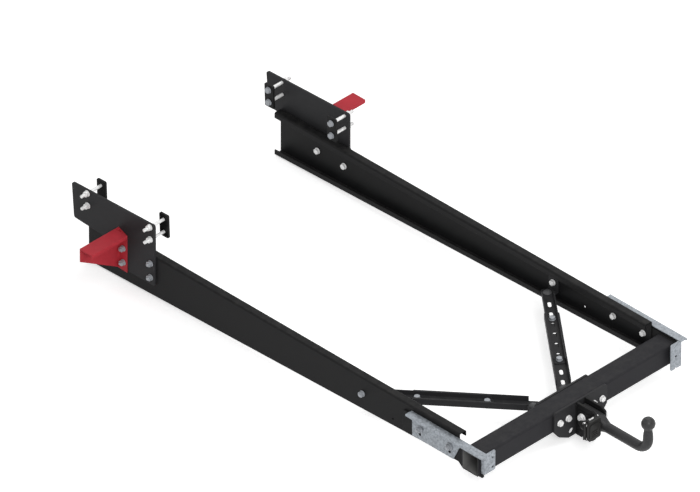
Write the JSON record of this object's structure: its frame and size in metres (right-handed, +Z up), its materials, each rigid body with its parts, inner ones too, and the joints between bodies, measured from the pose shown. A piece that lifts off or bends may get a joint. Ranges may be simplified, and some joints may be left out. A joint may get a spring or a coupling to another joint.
{
  "type": "trailer hitch",
  "caption": "Tow bar for a motorhome: lipped chassis extension rails, square cross beam, telescoping braces, bolted swan neck with a ball, and a trailer socket with a hinged lid.",
  "frame": {"origin": "centre of the coupling ball", "axes": "+X to the vehicle's right, +Y to the vehicle's front along the rails, +Z up"},
  "size_m": [1.324, 2.3304, 0.3231],
  "materials": {
    "black_coat": "satin black powder coat",
    "beam_coat": "satin dark grey powder coat",
    "neck_coat": "satin dark grey paint on forged steel",
    "black_bolts": "blackened steel",
    "zinc": "bright zinc plate",
    "galvanised": "galvanised sheet with a spangle",
    "red_coat": "deep red powder coat",
    "black_plastic": "moulded dark plastic",
    "rubber": "matt rubber",
    "brass": "plain brass"
  },
  "bodies": {
    "tow_bar": {"left_rail": "black_coat", "right_rail": "black_coat", "cross_beam": "beam_coat", "left_end_plate": "black_coat", "right_end_plate": "black_coat", "left_bumper_bracket": "galvanised", "right_bumper_bracket": "galvanised", "left_beam_bolts": "zinc", "right_beam_bolts": "zinc", "left_mount_plate": "black_coat", "right_mount_plate": "black_coat", "left_rear_clamp": "black_coat", "left_front_clamp": "black_coat", "right_rear_clamp": "black_coat", "right_front_clamp": "black_coat", "left_chassis_bolts": "zinc", "right_chassis_bolts": "zinc", "left_rail_bolts": "zinc", "right_rail_bolts": "zinc", "left_outrigger": "red_coat", "right_outrigger": "red_coat", "left_brace_angle": "black_coat", "right_brace_angle": "black_coat", "left_angle_bolt": "zinc", "right_angle_bolt": "zinc", "left_brace_outer": "black_coat", "right_brace_outer": "black_coat", "left_brace_inner": "black_coat", "right_brace_inner": "black_coat", "left_brace_bolts": "zinc", "right_brace_bolts": "zinc", "left_brace_pivots": "black_bolts", "right_brace_pivots": "black_bolts", "head_front_plate": "black_coat", "head_rear_plate": "black_coat", "left_cheek": "black_coat", "right_cheek": "black_coat", "head_bolts": "zinc", "swan_neck": "neck_coat", "neck_bolts": "zinc", "socket_bracket": "black_coat", "socket_body": "black_plastic", "socket_insert": "black_plastic", "socket_contacts": "brass", "socket_gasket": "rubber", "socket_gland": "black_plastic", "socket_screws": "zinc", "lid_pin": "zinc", "lid_spring": "zinc"},
    "socket_lid": {"socket_lid": "black_plastic", "lid_seal": "rubber"}
  },
  "joints": [
    {"name": "socket_lid_hinge", "type": "hinge", "parent": "tow_bar", "child": "socket_lid", "pos_m": [-0.06, 0.2125, -0.0589], "axis": [-1, 0, 0], "range_deg": [0, 110], "stiffness_Nm_per_rad": 0.03, "springref_deg": -40.11}
  ]
}
